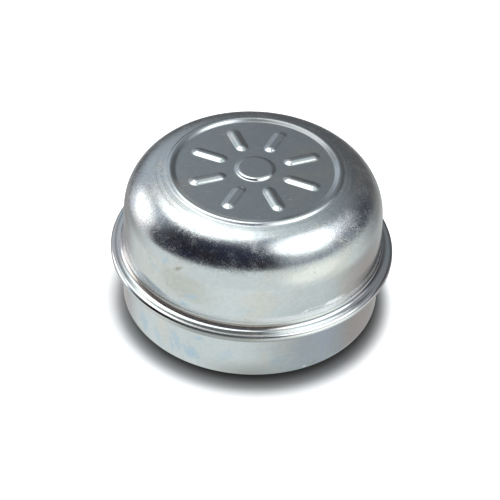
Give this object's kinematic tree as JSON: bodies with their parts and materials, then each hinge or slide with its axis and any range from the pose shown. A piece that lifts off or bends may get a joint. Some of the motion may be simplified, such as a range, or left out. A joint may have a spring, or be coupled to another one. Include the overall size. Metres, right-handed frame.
{
  "type": "hub grease cap",
  "caption": "Round pressed-metal cap with a straight press-in skirt, a folded stop collar, a rounded shoulder and a recessed ribbed top; closes a wheel hub and keeps its grease in.",
  "frame": {"origin": "centre of the open rim, on the plane that the rim stands on", "axes": "+Z along the cap's axis from the open rim to the closed top; +X lies midway between two of the pressed ribs"},
  "size_m": [0.0696, 0.0696, 0.0374],
  "materials": {
    "zinc_plate": "bright zinc plating with a clear, faintly blue passivate"
  },
  "bodies": {
    "root": {"cap": "zinc_plate"}
  },
  "joints": []
}
